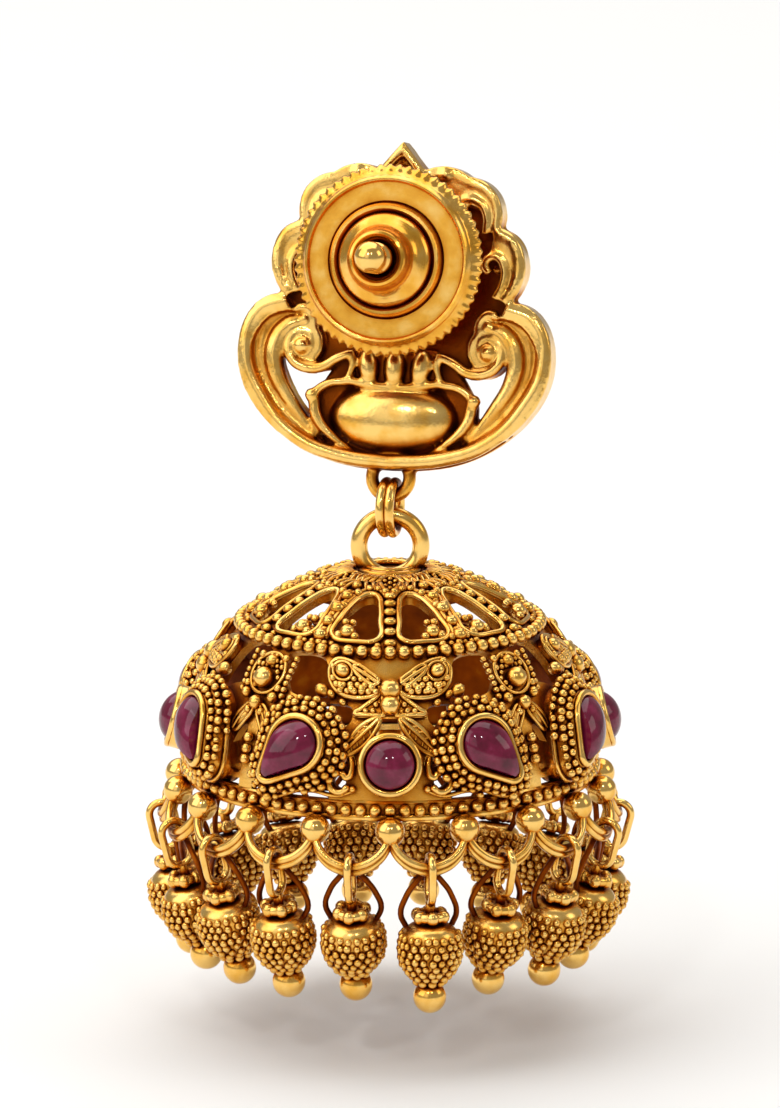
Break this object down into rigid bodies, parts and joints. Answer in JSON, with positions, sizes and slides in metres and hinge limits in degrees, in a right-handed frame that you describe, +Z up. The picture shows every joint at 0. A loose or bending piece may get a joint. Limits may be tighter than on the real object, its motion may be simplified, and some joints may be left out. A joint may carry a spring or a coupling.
{
  "type": "jhumka drop earring",
  "caption": "Jhumka drop earring: pierced gold bell with red cabochons and a fringe of small bead drops, hung from an ornate stud with a screw back.",
  "frame": {"origin": "on the ear post's axis at the crown's back plane, where the earlobe sits", "axes": "+Z up as worn, -Y towards the decorated front, +Y along the post's free end (which points 12 degrees up), +X to the wearer's left side of the front view"},
  "size_m": [0.0312, 0.0314, 0.0526],
  "materials": {
    "gold": "antique gold plate, polished high points over reddish-brown patina",
    "ruby": "polished deep magenta-red cabochon"
  },
  "bodies": {
    "stud": {"stud_crown": "gold"},
    "nut": {"screw_nut": "gold"},
    "link": {"connecting_link": "gold"},
    "bell": {"bell": "gold", "ruby_round_1": "ruby", "ruby_round_2": "ruby", "ruby_round_3": "ruby", "ruby_round_4": "ruby", "ruby_pear_1": "ruby", "ruby_pear_2": "ruby", "ruby_pear_3": "ruby", "ruby_pear_4": "ruby", "ruby_pear_5": "ruby", "ruby_pear_6": "ruby", "ruby_pear_7": "ruby", "ruby_pear_8": "ruby", "drop_pin_01": "gold", "drop_bead_01": "gold", "drop_pin_02": "gold", "drop_bead_02": "gold", "drop_pin_03": "gold", "drop_bead_03": "gold", "drop_pin_04": "gold", "drop_bead_04": "gold", "drop_pin_05": "gold", "drop_bead_05": "gold", "drop_pin_06": "gold", "drop_bead_06": "gold", "drop_pin_07": "gold", "drop_bead_07": "gold", "drop_pin_08": "gold", "drop_bead_08": "gold", "drop_pin_09": "gold", "drop_bead_09": "gold", "drop_pin_10": "gold", "drop_bead_10": "gold", "drop_pin_11": "gold", "drop_bead_11": "gold", "drop_pin_12": "gold", "drop_bead_12": "gold", "drop_pin_13": "gold", "drop_bead_13": "gold", "drop_pin_14": "gold", "drop_bead_14": "gold", "drop_pin_15": "gold", "drop_bead_15": "gold", "drop_pin_16": "gold", "drop_bead_16": "gold", "drop_pin_17": "gold", "drop_bead_17": "gold", "drop_pin_18": "gold", "drop_bead_18": "gold"}
  },
  "joints": [
    {"name": "nut_slide", "type": "slide", "parent": "stud", "child": "nut", "axis": [0, 0.9781, 0.2079], "range_m": [0, 0.012]},
    {"name": "link_swing", "type": "hinge", "parent": "stud", "child": "link", "pos_m": [0, 0.00213, -0.01483], "axis": [1, 0, 0], "range_deg": [-35, 35]},
    {"name": "bell_swing", "type": "hinge", "parent": "link", "child": "bell", "pos_m": [0, 0.00213, -0.01713], "axis": [0, 1, 0], "range_deg": [-35, 35]}
  ]
}
